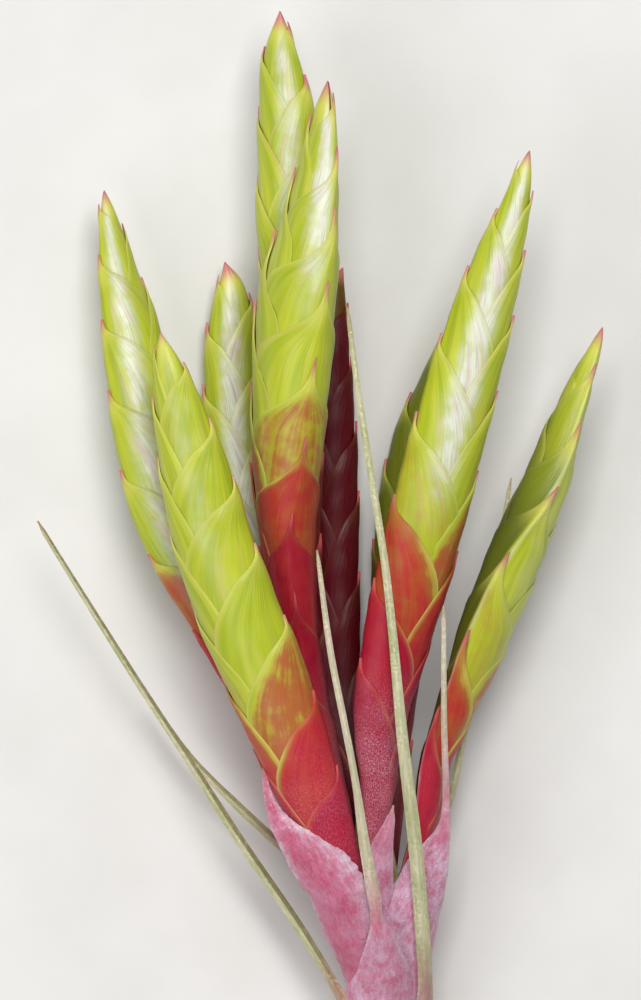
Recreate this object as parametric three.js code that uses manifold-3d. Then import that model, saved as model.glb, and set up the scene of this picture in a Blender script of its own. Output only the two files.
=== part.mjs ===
// Cut flowering head of an air plant, lying on a table with its front up.
// Millimetres. +Y runs from the stalk to the tips, +Z from the table to the front.
// Nine flattened spikes of two-ranked bracts leave one stalk, each above a sheath-like bract.
import * as THREE from "three";
import { mergeVertices } from "three/addons/utils/BufferGeometryUtils.js";
import Module from "manifold-3d";

const wasm = await Module();
wasm.setup();

// Driving dimensions
const CLEARANCE = 0.3; // between two neighbouring pieces
const MARGIN_GAP = 1; // between the last red margin of a spike and the lime bract in it
const BRACT_LENGTH = 40; // a full-grown floral bract
const TIP_BRACT_LENGTH = 22; // the topmost bract of a spike
const BRACT_STEP = 8; // along the spike from one bract tip to the next on the other rank
const TIP_STEP = 4; // the same at the top of the spike
const STEP_GROWTH = 0.5; // how much each step is longer than the one above it
const LOWEST_TIP = 28; // no bract tip is nearer to the foot of its spike
const WRAP = 2.27; // half of the angle that a bract wraps round its spike, radians
const COLUMNS = 16; // points round a spike, with one on each keel
const BRACT_DEPTH = 2.4; // how much deeper a bract's foot lies than its tip
const TIP_FLARE = 0.25; // how far a bract tip stands off
const FLATNESS = 0.73; // thickness of a spike over its width
const SHEATH_WALL = 1.0; // thickness of a sheath or blade
const CREST = 0.15; // from the mean edge of a spike to the line of its tips
const STALK_RADIUS = 4.6;
const REST_CUT = 0; // height of the table

// Colours and surfaces
const LIME = new THREE.MeshStandardMaterial({ color: 0xb9c84a, roughness: 0.45, metalness: 0 });
const RED = new THREE.MeshStandardMaterial({ color: 0xc4304a, roughness: 0.45, metalness: 0 });
const SHEATH = new THREE.MeshStandardMaterial({ color: 0xc8788c, roughness: 0.6, metalness: 0 });
const BLADE = new THREE.MeshStandardMaterial({ color: 0xc9c49a, roughness: 0.6, metalness: 0 });
const STALK = new THREE.MeshStandardMaterial({ color: 0x9a9a52, roughness: 0.6, metalness: 0 });

// Each spike's rows are x, y, z of its axis, half width seen from the front, roll in degrees.
// The roll turns the right-hand rank of bracts towards the front.
// stretch scales the steps, side is the rank of the topmost bract, reds is the first red bract.
const SPIKES = {
  a: {
    stretch: 1, side: 1, reds: 11,
    rows: [
      [9.5, 17, 23.6, 3.4, 25], [3.8, 27, 28.6, 5.2, 25], [0.4, 34.8, 31, 6.4, 24],
      [-5.4, 50.6, 34, 7.6, 23], [-10.6, 64.2, 36, 8.4, 22], [-16.2, 77.2, 38, 8.5, 22],
      [-21.4, 91.8, 40, 8.1, 21], [-24, 101.8, 41.5, 7.5, 20], [-26.8, 112.8, 43, 6.1, 20],
      [-29.6, 123.6, 44.5, 3.9, 20], [-31.8, 133.4, 45.5, 0.8, 20],
    ],
  },
  g: {
    stretch: 1.045, side: 1, reds: 11,
    rows: [
      [11.5, 26, 25.5, 2.4, -24], [10.8, 32, 26.5, 2.9, -24], [11.6, 42.4, 28.5, 4, -25],
      [11.9, 55.2, 30.5, 5.4, -27], [14.2, 67.2, 32, 6.6, -28], [19.7, 89.6, 34.5, 7.8, -24],
      [26.5, 116, 36.5, 7.4, -14], [30.8, 131.6, 37.5, 6.7, -8], [35.1, 146.4, 38.5, 5.2, -4],
      [38.7, 157.8, 39.3, 3.1, -2], [41.8, 169.8, 40, 0.8, 0],
    ],
  },
  i: {
    stretch: 1.06, side: 1, reds: 10,
    rows: [
      [16.5, 21, 20.5, 2.4, 88], [20.6, 34, 22, 3, 88], [22.9, 46.4, 23.3, 3.5, 88],
      [25.4, 53.8, 24, 4.1, 88], [29, 62.8, 24.6, 4.9, 88], [32.1, 71.2, 25, 5.8, 88],
      [38.6, 87.6, 25.6, 6.2, 88], [45.5, 104.4, 26, 5.3, 88], [50.8, 120, 26.2, 3.3, 88],
      [54.8, 129.6, 26.2, 1.6, 88], [56.6, 134.6, 26.2, 0.8, 88],
    ],
  },
  c: {
    stretch: 1, side: -1, reds: 11,
    rows: [
      [6, 27, 22, 2.8, 90], [4.2, 36, 24, 3.4, 90], [0.8, 48, 26, 4, 90],
      [-3.8, 70, 27.5, 4.7, 88], [-6.2, 91.4, 30, 6, 72], [-6.5, 106.6, 32.5, 7.4, 58],
      [-5.6, 124.4, 35.5, 8.3, 52], [-4.4, 140, 38, 8.3, 47], [-2.7, 149.2, 39.5, 7.2, 45],
      [-1.2, 159.8, 40.8, 5.4, 45], [0.1, 168.2, 41.6, 4, 45], [1, 177.4, 42.2, 2.2, 45],
      [1.6, 183.6, 42.5, 0.8, 45],
    ],
  },
  b: {
    stretch: 1.04, side: 1, reds: 13,
    rows: [
      [5.6, 27, 18, 3, -20], [-0.5, 38, 20, 4.6, -22], [-6.5, 50, 21, 5.4, -25],
      [-17, 71.4, 20.5, 6.4, -25], [-28.6, 92.8, 19, 7.3, -25], [-33.2, 108, 18, 7.4, -25],
      [-36, 123, 16.5, 6.9, -25], [-38, 134.4, 15.5, 6, -25], [-40.7, 146.8, 15, 3.9, -25],
      [-43.4, 162.2, 14, 0.8, -25],
    ],
  },
  d: {
    stretch: 1.03, side: -1, reds: 11,
    rows: [
      [9, 36, 20.5, 2.8, 30], [4, 50, 19.5, 3.6, 30], [0, 62, 19, 4, 30],
      [-3.4, 80, 19, 4.4, 30], [-5, 100, 19.5, 5.6, 30], [-5, 120, 20, 6.6, 30],
      [-5.4, 143, 21, 6.8, 30], [-6.4, 156, 22, 6.7, 30], [-6.4, 165.6, 22.5, 6.4, 30],
      [-6.8, 177.4, 23, 5.9, 30], [-7.8, 187.4, 23.4, 4.1, 30], [-8, 198, 24, 0.8, 30],
    ],
  },
  h: {
    stretch: 1, side: 1, reds: 9,
    rows: [
      [13.5, 28, 15.5, 2.6, 0], [13.8, 40, 12.5, 3.4, 0], [14.8, 60, 10, 4.6, 0],
      [16, 80, 7.2, 5.8, 0], [17.8, 96, 5, 6.6, 0], [21.4, 111.4, 3.9, 6.9, 0],
      [26.8, 126, 4.2, 5.4, 0], [29.6, 134.2, 5.2, 3.6, 0], [32, 143, 6, 0.8, 0],
    ],
  },
  e: {
    stretch: 1, side: 1, reds: 9,
    rows: [
      [7.4, 29, 15.2, 2.6, -12], [3.2, 40, 12.6, 3.4, -12], [-4.5, 60, 10.5, 4.4, -12],
      [-10.5, 80, 7.6, 5.2, -12], [-14.4, 96, 5.5, 5.8, -12], [-16.8, 110, 3.95, 6.1, -12],
      [-17.6, 121.8, 3.6, 6, -12], [-17.8, 133.4, 4.2, 5.2, -12], [-18, 142.6, 5.2, 3, -12],
      [-19.2, 148, 5.8, 0.8, -12],
    ],
  },
  f: {
    stretch: 1, side: 1, reds: 0,
    rows: [
      [10, 30, 14.8, 2.6, 10], [8, 42, 10.8, 3.4, 10], [4.5, 60, 8.3, 4.4, 10],
      [2.8, 80, 7.8, 5.2, 10], [1.8, 108.2, 8, 5.8, 10], [1.2, 129.8, 8.6, 5, 10],
      [2.2, 140, 9, 3.2, 10], [4.6, 146.8, 9.4, 0.8, 10],
    ],
  },
};

// Each sheath's rows are x, y, z of its crest, half width, half of the angle that it curves
// through, and the roll that turns its crest to the left, all in mm and degrees.
const SHEATHS = {
  scape_bract_front: {
    material: BLADE,
    rows: [
      [15.6, -27, 11.2, 5.2, 72, -25], [16.6, -18, 13.4, 5.2, 70, -28],
      [19.4, -8, 15.8, 3.6, 64, -28], [21.3, 0, 19.5, 1.7, 50, -20], [20.6, 12.2, 26, 1.5, 45, 0],
      [18.9, 32.2, 34, 1.4, 45, 0], [16.5, 52, 40, 1.15, 45, 0], [14.2, 76.2, 42, 0.85, 45, 0],
      [12.4, 91, 42.2, 0.75, 40, 0], [8, 119, 40, 0.65, 40, 0], [5.4, 138.6, 38.5, 0.4, 30, 0],
    ],
  },
  scape_bract_left: {
    material: BLADE,
    rows: [
      [9.4, -22, 11.6, 5.2, 75, 40], [8, -12, 13.6, 4.6, 70, 45], [5.8, -4, 15.2, 2.4, 60, 35],
      [3.4, 1.6, 16.4, 1.1, 45, 10], [-4, 14, 17.4, 1, 45, 0], [-16.4, 32.2, 17.4, 0.95, 45, 0],
      [-26, 47.2, 17, 0.8, 45, 0], [-38.2, 66, 18, 0.7, 40, 0], [-52.8, 89.4, 21, 0.5, 40, 0],
      [-56.6, 95.8, 22, 0.4, 30, 0],
    ],
  },
  bract_c: {
    material: SHEATH,
    rows: [
      [12.9, -17, 14, 5.8, 82, 0], [12.8, -10, 16.6, 6.6, 80, 0], [12.6, -4, 19, 7.1, 76, 0],
      [12.5, 0, 21.2, 7.2, 72, 0], [12.6, 5.4, 25.6, 4.9, 62, 0], [12.2, 12.2, 30.6, 2.6, 52, 0],
      [11.4, 16.4, 32.6, 1.3, 45, 0], [10.6, 22, 34.2, 1.4, 45, 0], [8.9, 31.2, 36, 1.1, 45, 0],
      [7.1, 43.6, 38, 0.75, 40, 0], [4.8, 55.8, 39, 0.7, 40, 0], [2, 70.4, 39, 0.65, 40, 0],
      [-0.6, 90, 37.5, 0.4, 30, 0],
    ],
  },
  bract_a: {
    material: SHEATH,
    rows: [
      [10.3, -5, 16.9, 4.6, 65, 25], [8.2, 4, 21, 5.2, 60, 24], [5.9, 11, 26.6, 5.6, 55, 22],
      [2.3, 21.4, 33, 6.3, 55, 20], [-2.2, 28.4, 35, 5.2, 50, 18], [-6, 32.4, 35.2, 3.2, 45, 15],
      [-8.8, 36.6, 34.8, 1.9, 42, 10], [-10.4, 41, 34, 0.9, 40, 5], [-11.4, 46.6, 33, 0.4, 30, 0],
    ],
  },
  bract_i: {
    material: SHEATH,
    rows: [
      [14.9, -7, 16.5, 5, 70, -20], [17.2, 5, 20.8, 5.8, 65, -18], [18.8, 16, 25.4, 6.1, 60, -14],
      [20.5, 22.2, 27.4, 5, 55, -10], [21.8, 26.6, 28.4, 4.2, 52, -8],
      [23.5, 30.6, 29, 2.6, 48, -5], [24.9, 35, 29.6, 1.2, 45, 0], [25.2, 41.4, 30.4, 0.7, 40, 0],
      [24.8, 56.2, 33, 0.6, 40, 0], [24.7, 79, 36, 0.4, 30, 0],
    ],
  },
  bract_g: {
    material: SHEATH,
    rows: [
      [12.2, 4, 20.2, 2.6, 60, 0], [11.8, 15, 24.4, 3.4, 62, 0], [11.4, 23.4, 28.6, 3.2, 62, 0],
      [12.5, 30.6, 30.4, 2.2, 55, 0], [13.9, 35.4, 31, 1.1, 45, 0], [14.7, 39, 31.4, 0.4, 30, 0],
    ],
  },
  bract_b: {
    material: BLADE,
    rows: [
      [7.2, 8, 18, 3.2, 70, 60], [3.6, 19, 17.6, 3.4, 66, 55], [-3.4, 27.4, 16, 1.8, 55, 20],
      [-7.6, 30.4, 14.6, 1, 45, 0], [-16.4, 38.4, 12.6, 0.9, 45, 0], [-26, 48.2, 11, 0.7, 40, 0],
      [-35, 61, 11, 0.4, 30, 0],
    ],
  },
  bract_h: {
    material: BLADE,
    rows: [
      [17.6, 8, 13.4, 3, 70, -110], [17.6, 20, 13.6, 3.6, 68, -115], [21.2, 31, 13, 1.9, 55, -90],
      [25.9, 38.8, 14, 0.9, 45, -30], [28.2, 49.4, 14.8, 0.7, 45, 0], [33.4, 77, 15.6, 0.6, 40, 0],
      [38.4, 104.4, 16, 0.4, 30, 0],
    ],
  },
  bract_e: {
    material: SHEATH,
    rows: [
      [8, 6, 11.1, 3, 68, 130], [6.6, 18, 12.2, 3.6, 66, 130], [4.6, 30, 12, 3, 60, 140],
      [1.2, 39, 9, 1.5, 48, 150], [-1.2, 47, 7.6, 0.4, 30, 160],
    ],
  },
  bract_f: {
    material: SHEATH,
    rows: [
      [12.2, 4, 8.4, 3, 68, 180], [11.4, 16, 11.6, 3.6, 66, 180], [10.2, 28, 11.2, 3, 60, 180],
      [8.8, 38, 8.4, 1.5, 48, 180], [7.8, 46, 6, 0.4, 30, 180],
    ],
  },
};

// The stalk's rows are x, y, z of its axis and its radius over STALK_RADIUS.
const SCAPE_ROWS = [
  [13, -32, 4.5, 1.1], [13, -20, 6.9, 1.06], [12.8, -6, 11.2, 1.02], [12.4, 8, 15.4, 0.98],
  [11.6, 18, 18.4, 0.95], [11, 27, 19.9, 0.9], [10, 36.5, 20.4, 0.6],
];

// Solids

function solidOf(positions) {
  const loose = new THREE.BufferGeometry();
  loose.setAttribute("position", new THREE.Float32BufferAttribute(positions, 3));
  const merged = mergeVertices(loose, 1e-4);
  return new wasm.Manifold(
    new wasm.Mesh({
      numProp: 3,
      vertProperties: merged.attributes.position.array,
      triVerts: new Uint32Array(merged.index.array),
    }),
  );
}

// A closed skin over rings of equal count, closed by a fan to a point at each end.
function loft(rings, first, last) {
  const out = [];
  const put = (...points) => points.forEach((p) => out.push(p.x, p.y, p.z));
  const count = rings[0].length;
  for (let j = 0; j < count; j += 1) {
    const k = (j + 1) % count;
    put(first, rings[0][j], rings[0][k]);
    for (let i = 0; i + 1 < rings.length; i += 1) {
      put(rings[i][j], rings[i + 1][k], rings[i][k]);
      put(rings[i][j], rings[i + 1][j], rings[i + 1][k]);
    }
    put(last, rings[rings.length - 1][k], rings[rings.length - 1][j]);
  }
  return solidOf(out);
}

// The biggest connected skin of a solid, as a geometry.
function mainBody(solid) {
  const mesh = solid.getMesh();
  const verts = mesh.vertProperties;
  const tris = mesh.triVerts;
  const parent = Array.from({ length: verts.length / 3 }, (_, i) => i);
  const root = (i) => {
    let at = i;
    while (parent[at] !== at) {
      parent[at] = parent[parent[at]];
      at = parent[at];
    }
    return at;
  };
  for (let t = 0; t < tris.length; t += 3) {
    parent[root(tris[t])] = root(tris[t + 1]);
    parent[root(tris[t + 1])] = root(tris[t + 2]);
  }
  const volumes = new Map();
  const corner = (i) => new THREE.Vector3().fromArray(verts, 3 * i);
  for (let t = 0; t < tris.length; t += 3) {
    const [a, b, c] = [corner(tris[t]), corner(tris[t + 1]), corner(tris[t + 2])];
    const key = root(tris[t]);
    volumes.set(key, (volumes.get(key) || 0) + a.dot(b.cross(c)) / 6);
  }
  const main = [...volumes].sort((p, q) => q[1] - p[1])[0][0];
  const kept = [];
  for (let t = 0; t < tris.length; t += 3) {
    if (root(tris[t]) === main) {
      kept.push(tris[t], tris[t + 1], tris[t + 2]);
    }
  }
  const geometry = new THREE.BufferGeometry();
  geometry.setAttribute("position", new THREE.BufferAttribute(new Float32Array(verts), 3));
  geometry.setIndex(kept);
  return geometry;
}

// Curves through a piece's rows: one for the axis, one for what changes along it.
function pathOf(rows) {
  const curve = (pick) => new THREE.CatmullRomCurve3(rows.map(pick), false, "catmullrom", 0.5);
  const axis = curve((r) => new THREE.Vector3(r[0], r[1], r[2]));
  const girth = curve((r) => new THREE.Vector3(r[3], r[4] || 0, r[5] || 0));
  return { axis, girth, length: axis.getLength() };
}

// Centre, direction, side and front of a path at a distance along it.
function frameAt(path, s) {
  const t = path.axis.getUtoTmapping(THREE.MathUtils.clamp(s / path.length, 0, 1));
  const centre = path.axis.getPoint(t);
  const along = path.axis.getTangent(t);
  const side = new THREE.Vector3().crossVectors(along, new THREE.Vector3(0, 0, 1)).normalize();
  const front = new THREE.Vector3().crossVectors(side, along).normalize();
  return { centre, along, side, front, girth: path.girth.getPoint(t) };
}

// Spikes

// Width axis, thickness axis and both half sizes of a spike's section.
function sectionAt(path, s, grow) {
  const f = frameAt(path, s);
  const roll = THREE.MathUtils.degToRad(f.girth.y);
  const keel = f.side.clone().multiplyScalar(Math.cos(roll)).addScaledVector(f.front, Math.sin(roll));
  const face = f.side.clone().multiplyScalar(-Math.sin(roll)).addScaledVector(f.front, Math.cos(roll));
  const seen = Math.hypot(Math.cos(roll), FLATNESS * Math.sin(roll));
  const crest = CREST * Math.min(1, f.girth.x / 3);
  const wide = Math.max(f.girth.x, 0.4) / seen + crest;
  return { centre: f.centre, along: f.along, keel, face, wide, thick: FLATNESS * wide, grow };
}

// A point of the section at an angle from the right-hand keel, moved out or in by an offset.
function onSection(section, angle, offset) {
  const room = Math.min(1, section.wide / 4.5);
  const move = offset * room + section.grow;
  const x = Math.max(section.wide + move, 0.3) * Math.cos(angle);
  const y = Math.max(section.thick + move, 0.3) * Math.sin(angle);
  return section.centre.clone().addScaledVector(section.keel, x).addScaledVector(section.face, y);
}

// Distance of bract number k's tip below the top of its spike.
function tipDrop(spike, k) {
  let drop = 0;
  for (let j = 1; j <= k; j += 1) {
    drop += Math.min(BRACT_STEP, TIP_STEP + STEP_GROWTH * (j - 1));
  }
  return drop * spike.stretch;
}

// How many bracts a spike has.
function bractCount(spike, path) {
  let count = 0;
  while (path.length - tipDrop(spike, count) > LOWEST_TIP) {
    count += 1;
  }
  return count;
}

// How far up its length a bract reaches at an angle from its own keel.
function reachAt(angle) {
  return Math.pow(1 - Math.pow(angle / WRAP, 0.91), 0.45);
}

// The closed skin over the bracts of a spike, from the lowest one up to bract number `last`.
// Each column of points runs up the spike; every bract adds the start of what shows of it and
// its margin, and a bract that doesn't show in a column repeats the point before.
// `grow` widens the skin and `lift` moves the margins up, to cut a neighbour clear of it.
function skinOf(spike, path, last, grow = 0, lift = 0) {
  const angles = Array.from({ length: COLUMNS }, (_, j) => (2 * Math.PI * j) / COLUMNS);
  const foot = sectionAt(path, 0, grow);
  foot.centre.addScaledVector(foot.along, -grow);
  let points = angles.map((angle) => onSection(foot, angle, -BRACT_DEPTH));
  const reached = angles.map(() => 0);
  const rings = [points];
  const rise = (column, s, offset) => onSection(sectionAt(path, s, grow), angles[column], offset);
  for (let k = bractCount(spike, path) - 1; k >= last; k -= 1) {
    const tip = path.length - tipDrop(spike, k);
    const length = Math.min(BRACT_LENGTH, TIP_BRACT_LENGTH + 2.2 * k, tip);
    const keel = (k % 2 === 0 ? spike.side : -spike.side) > 0 ? 0 : Math.PI;
    const offsetAt = (s) => {
      const u = THREE.MathUtils.clamp(1 - (tip - s) / length, 0, 1);
      return BRACT_DEPTH * (u - 1) + TIP_FLARE * THREE.MathUtils.smoothstep(u, 0.7, 1);
    };
    const starts = [...points];
    const ends = [...points];
    angles.forEach((angle, j) => {
      const away = Math.abs(Math.atan2(Math.sin(angle - keel), Math.cos(angle - keel)));
      const margin = away < WRAP ? tip - length * (1 - reachAt(away)) + lift : 0;
      if (margin > reached[j] + 0.5) {
        starts[j] = rise(j, reached[j], offsetAt(reached[j]));
        ends[j] = rise(j, margin, offsetAt(margin));
        reached[j] = margin;
      }
    });
    rings.push(starts, ends);
    points = ends;
  }
  if (last > 0) {
    const low = Math.min(...reached);
    return loft(rings, foot.centre, sectionAt(path, low - 3 + lift, grow).centre);
  }
  const top = path.length - 1.2;
  const starts = [...points];
  const ends = [...points];
  angles.forEach((angle, j) => {
    if (top > reached[j] + 0.5) {
      starts[j] = rise(j, reached[j], -0.7 * BRACT_DEPTH);
      ends[j] = rise(j, top, -0.7 * BRACT_DEPTH);
    }
  });
  rings.push(starts, ends);
  return loft(rings, foot.centre, sectionAt(path, path.length - 0.6, grow).centre);
}

// The smooth outline round a whole spike, used to keep its neighbours clear.
function envelopeOf(path, grow) {
  const rings = [];
  const steps = 10;
  for (let i = 0; i <= steps; i += 1) {
    const section = sectionAt(path, (path.length * i) / steps, grow + TIP_FLARE);
    const ring = [];
    for (let j = 0; j < 12; j += 1) {
      ring.push(onSection(section, (2 * Math.PI * j) / 12, 0));
    }
    rings.push(ring);
  }
  const foot = frameAt(path, 0);
  const head = frameAt(path, path.length);
  const first = foot.centre.clone().addScaledVector(foot.along, -grow);
  const last = head.centre.clone().addScaledVector(head.along, grow + 0.6);
  return loft(rings, first, last);
}

// Sheaths and blades

function sheathOf(rows, grow) {
  const path = pathOf(rows);
  const rings = [];
  const steps = Math.round(path.length / 9);
  const sides = 4;
  for (let i = 0; i <= steps; i += 1) {
    const f = frameAt(path, (path.length * i) / steps);
    const roll = THREE.MathUtils.degToRad(f.girth.z);
    const out = f.front.clone().multiplyScalar(Math.cos(roll)).addScaledVector(f.side, -Math.sin(roll));
    const across = f.side.clone().multiplyScalar(Math.cos(roll)).addScaledVector(f.front, Math.sin(roll));
    const half = THREE.MathUtils.degToRad(Math.max(f.girth.y, 20));
    const width = Math.max(f.girth.x, 0.4);
    const radius = width / Math.sin(half);
    const reach = half + grow / radius;
    const centre = f.centre.clone().addScaledVector(out, -radius);
    const skin = (r, angle) =>
      centre
        .clone()
        .addScaledVector(out, r * Math.cos(angle))
        .addScaledVector(across, r * Math.sin(angle));
    const ring = [];
    for (let j = 0; j <= sides; j += 1) {
      ring.push(skin(radius + grow, reach * ((2 * j) / sides - 1)));
    }
    for (let j = sides; j >= 0; j -= 1) {
      const inner = Math.max(radius - SHEATH_WALL - grow, 0.12);
      ring.push(skin(inner, reach * ((2 * j) / sides - 1)));
    }
    rings.push(ring);
  }
  return shell(rings, sides);
}

// A closed skin over rings that each run along an outer arc and back along an inner one.
function shell(rings, sides) {
  const out = [];
  const put = (...points) => points.forEach((p) => out.push(p.x, p.y, p.z));
  const count = rings[0].length;
  for (let i = 0; i + 1 < rings.length; i += 1) {
    for (let j = 0; j < count; j += 1) {
      const k = (j + 1) % count;
      put(rings[i][j], rings[i + 1][k], rings[i + 1][j]);
      put(rings[i][j], rings[i][k], rings[i + 1][k]);
    }
  }
  const cap = (ring, turned) => {
    for (let j = 0; j < sides; j += 1) {
      const [a, b, c, d] = [ring[j], ring[j + 1], ring[count - 2 - j], ring[count - 1 - j]];
      if (turned) {
        put(a, c, b);
        put(a, d, c);
      } else {
        put(a, b, c);
        put(a, c, d);
      }
    }
  };
  cap(rings[0], true);
  cap(rings[rings.length - 1], false);
  return solidOf(out);
}

// Stalk

function scapeOf(grow) {
  const path = pathOf(SCAPE_ROWS);
  const rings = [];
  const steps = 7;
  for (let i = 0; i <= steps; i += 1) {
    const f = frameAt(path, (path.length * i) / steps);
    const radius = STALK_RADIUS * f.girth.x + grow;
    const ring = [];
    for (let j = 0; j < 12; j += 1) {
      const angle = (2 * Math.PI * j) / 12;
      ring.push(
        f.centre
          .clone()
          .addScaledVector(f.side, radius * Math.cos(angle))
          .addScaledVector(f.front, radius * Math.sin(angle)),
      );
    }
    rings.push(ring);
  }
  const foot = frameAt(path, 0);
  const head = frameAt(path, path.length);
  return loft(rings, foot.centre, head.centre.addScaledVector(head.along, 0.8));
}

// Assembly: each piece is cut clear of the ones placed before it

const table = new THREE.BoxGeometry(400, 500, 60).translate(0, 80, REST_CUT - 30);
table.deleteAttribute("normal");
table.deleteAttribute("uv");
const tableSolid = solidOf(table.toNonIndexed().attributes.position.array);

const group = new THREE.Group();
const placed = [];
const feet = [];

function boxesMeet(p, q) {
  const [a, b] = [p.boundingBox(), q.boundingBox()];
  return [0, 1, 2].every((i) => a.min[i] < b.max[i] && b.min[i] < a.max[i]);
}

function place(name, solid, material, neighbours = placed) {
  let body = solid.subtract(tableSolid);
  neighbours.forEach((other) => {
    if (boxesMeet(body, other)) {
      body = body.subtract(other);
    }
  });
  const mesh = new THREE.Mesh(mainBody(body), material);
  mesh.name = name;
  group.add(mesh);
}

function placeSheath(name) {
  const sheath = SHEATHS[name];
  place(name, sheathOf(sheath.rows, 0), sheath.material);
  placed.push(sheathOf(sheath.rows, CLEARANCE));
  feet.push(sheathOf(sheath.rows, CLEARANCE));
}

function placeSpike(letter) {
  const spike = SPIKES[letter];
  const path = pathOf(spike.rows);
  place(`spike_${letter}_red`, skinOf(spike, path, spike.reds), RED);
  if (spike.reds > 0) {
    const aside = skinOf(spike, path, spike.reds, CLEARANCE);
    const above = skinOf(spike, path, spike.reds, 0, MARGIN_GAP);
    place(`spike_${letter}_lime`, skinOf(spike, path, 0).subtract(aside).subtract(above), LIME);
  }
  placed.push(envelopeOf(path, CLEARANCE));
  feet.push(skinOf(spike, path, 0, CLEARANCE));
}

["scape_bract_front", "bract_c", "bract_a", "bract_i", "bract_g", "scape_bract_left"].forEach(placeSheath);
["a", "g", "i", "c"].forEach(placeSpike);
["bract_b", "bract_h", "bract_e", "bract_f"].forEach(placeSheath);
["b", "d", "h", "e", "f"].forEach(placeSpike);
place("scape", scapeOf(0), STALK, feet);

// The origin is the middle of the underside.
const box = new THREE.Box3().setFromObject(group);
group.children.forEach((mesh) => {
  mesh.geometry.translate(-(box.min.x + box.max.x) / 2, -(box.min.y + box.max.y) / 2, -box.min.z);
});

export default group;
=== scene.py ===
import bpy
import numpy as np
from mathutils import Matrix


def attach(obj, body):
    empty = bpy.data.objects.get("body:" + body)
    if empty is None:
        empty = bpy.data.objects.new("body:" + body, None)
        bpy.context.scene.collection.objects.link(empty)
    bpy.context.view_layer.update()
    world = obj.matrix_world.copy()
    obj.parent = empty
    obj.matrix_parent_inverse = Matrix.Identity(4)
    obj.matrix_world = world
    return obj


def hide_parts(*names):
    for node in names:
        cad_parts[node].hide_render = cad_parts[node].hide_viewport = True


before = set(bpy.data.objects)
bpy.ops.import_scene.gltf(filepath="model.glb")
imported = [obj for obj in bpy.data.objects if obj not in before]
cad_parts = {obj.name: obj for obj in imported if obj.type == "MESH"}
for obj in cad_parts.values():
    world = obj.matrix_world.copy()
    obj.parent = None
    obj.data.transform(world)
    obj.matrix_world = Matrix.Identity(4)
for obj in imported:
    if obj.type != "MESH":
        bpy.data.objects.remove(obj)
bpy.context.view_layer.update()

# The stalk of the flower head: a round, finely ridged green stem, grown in one piece with what it carries. It
# is cut straight across at its lower end and lies on the table there; its upper end is hidden in the bundle.

# Rows are in millimetres here and below: x from the middle of the picture, y from its bottom edge, z from the
# table. TO_ORIGIN moves a point from there to the part's own origin.
TO_ORIGIN = (0.139, -82.5095, 0)
STALK_ROWS = [  # x, y, z, radius
    (13, -32, 4.5, 5.06), (13, -20, 6.9, 4.88), (12.8, -6, 11.2, 4.69), (12.4, 8, 15.4, 4.51),
    (11.6, 18, 18.4, 4.37), (11, 27, 19.9, 4.14), (10, 36.5, 20.4, 2.76)]
SAMPLES_PER_ROW = 60
STALK_RINGS, STALK_COLUMNS = 70, 132
CUT_RINGS, FIRST_RING = (0, 0.0006, 0.003), 0.008  # shares of the stalk's length
CUT_RING_WIDTH = 0.55  # the ring that lies on the cut face, as a share of the stalk's radius
CUT_ROUNDING, CUT_ROUNDED = 0.05, 0.6  # share by which the rim of the cut is drawn in, and over what length
CUT_FADE = (0.5, 0.2)  # where up the stalk the colour of the cut ends, and up to where it is full
STALK_RIDGES, RIDGE_HEIGHT = 22, 0.1
STALK_CENTIMETRES = 0.46  # the stalk's radius, for its map
COAT_ROUGHNESS = 0.3


def colour(red, green, blue):
    """Linear colour of three screen values from 0 to 255: the screen's curve is undone on each."""
    part = np.array([red, green, blue]) / 255
    return (*np.where(part > 0.04045, ((part + 0.055) / 1.055) ** 2.4, part / 12.92), 1.0)


def smooth_path(rows):
    """A smooth line through the rows: between two rows every column follows a cubic whose slope at a row is
    half the difference of the rows beside it. Gives close samples and how far along the line each one is."""
    rows = np.array(rows, float)
    held = np.vstack([2 * rows[0] - rows[1], rows, 2 * rows[-1] - rows[-2]])
    t = np.linspace(0, len(rows) - 1, SAMPLES_PER_ROW * (len(rows) - 1) + 1)
    i = np.minimum(t.astype(int), len(rows) - 2)
    f = (t - i)[:, None]
    a, b, c, d = held[i], held[i + 1], held[i + 2], held[i + 3]
    fine = b + 0.5 * ((c - a) * f + (2 * a - 5 * b + 4 * c - d) * f ** 2 + (3 * b - a - 3 * c + d) * f ** 3)
    far = np.concatenate([[0], np.cumsum(np.linalg.norm(np.diff(fine[:, :3], axis=0), axis=1))])
    return fine, far


def unit(vectors):
    """Each vector divided by its length."""
    return vectors / np.linalg.norm(vectors, axis=-1, keepdims=True)


def along_path(path, s):
    """At the distance s along a path: its columns, and two unit directions across it, side (level with the
    table: along x up) and front (away from the table: side x along)."""
    fine, far = path
    slope = np.gradient(fine[:, :3], far, axis=0)
    columns = np.stack([np.interp(s, far, column) for column in fine.T], -1)
    along = np.stack([np.interp(s, far, column) for column in slope.T], -1)
    side = np.cross(along, (0, 0, 1))
    front = np.cross(side, along)
    return columns, unit(side), unit(front)


def ease(low, high, x):
    """0 as far as low, 1 beyond high, and 3t^2 - 2t^3 between them; low may be the larger of the two."""
    t = np.clip((x - low) / (high - low), 0, 1)
    return t * t * (3 - 2 * t)


def layers(*values):
    """The values, each spread over the whole grid, side by side in one array."""
    return np.stack(np.broadcast_arrays(*values), -1)


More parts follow.
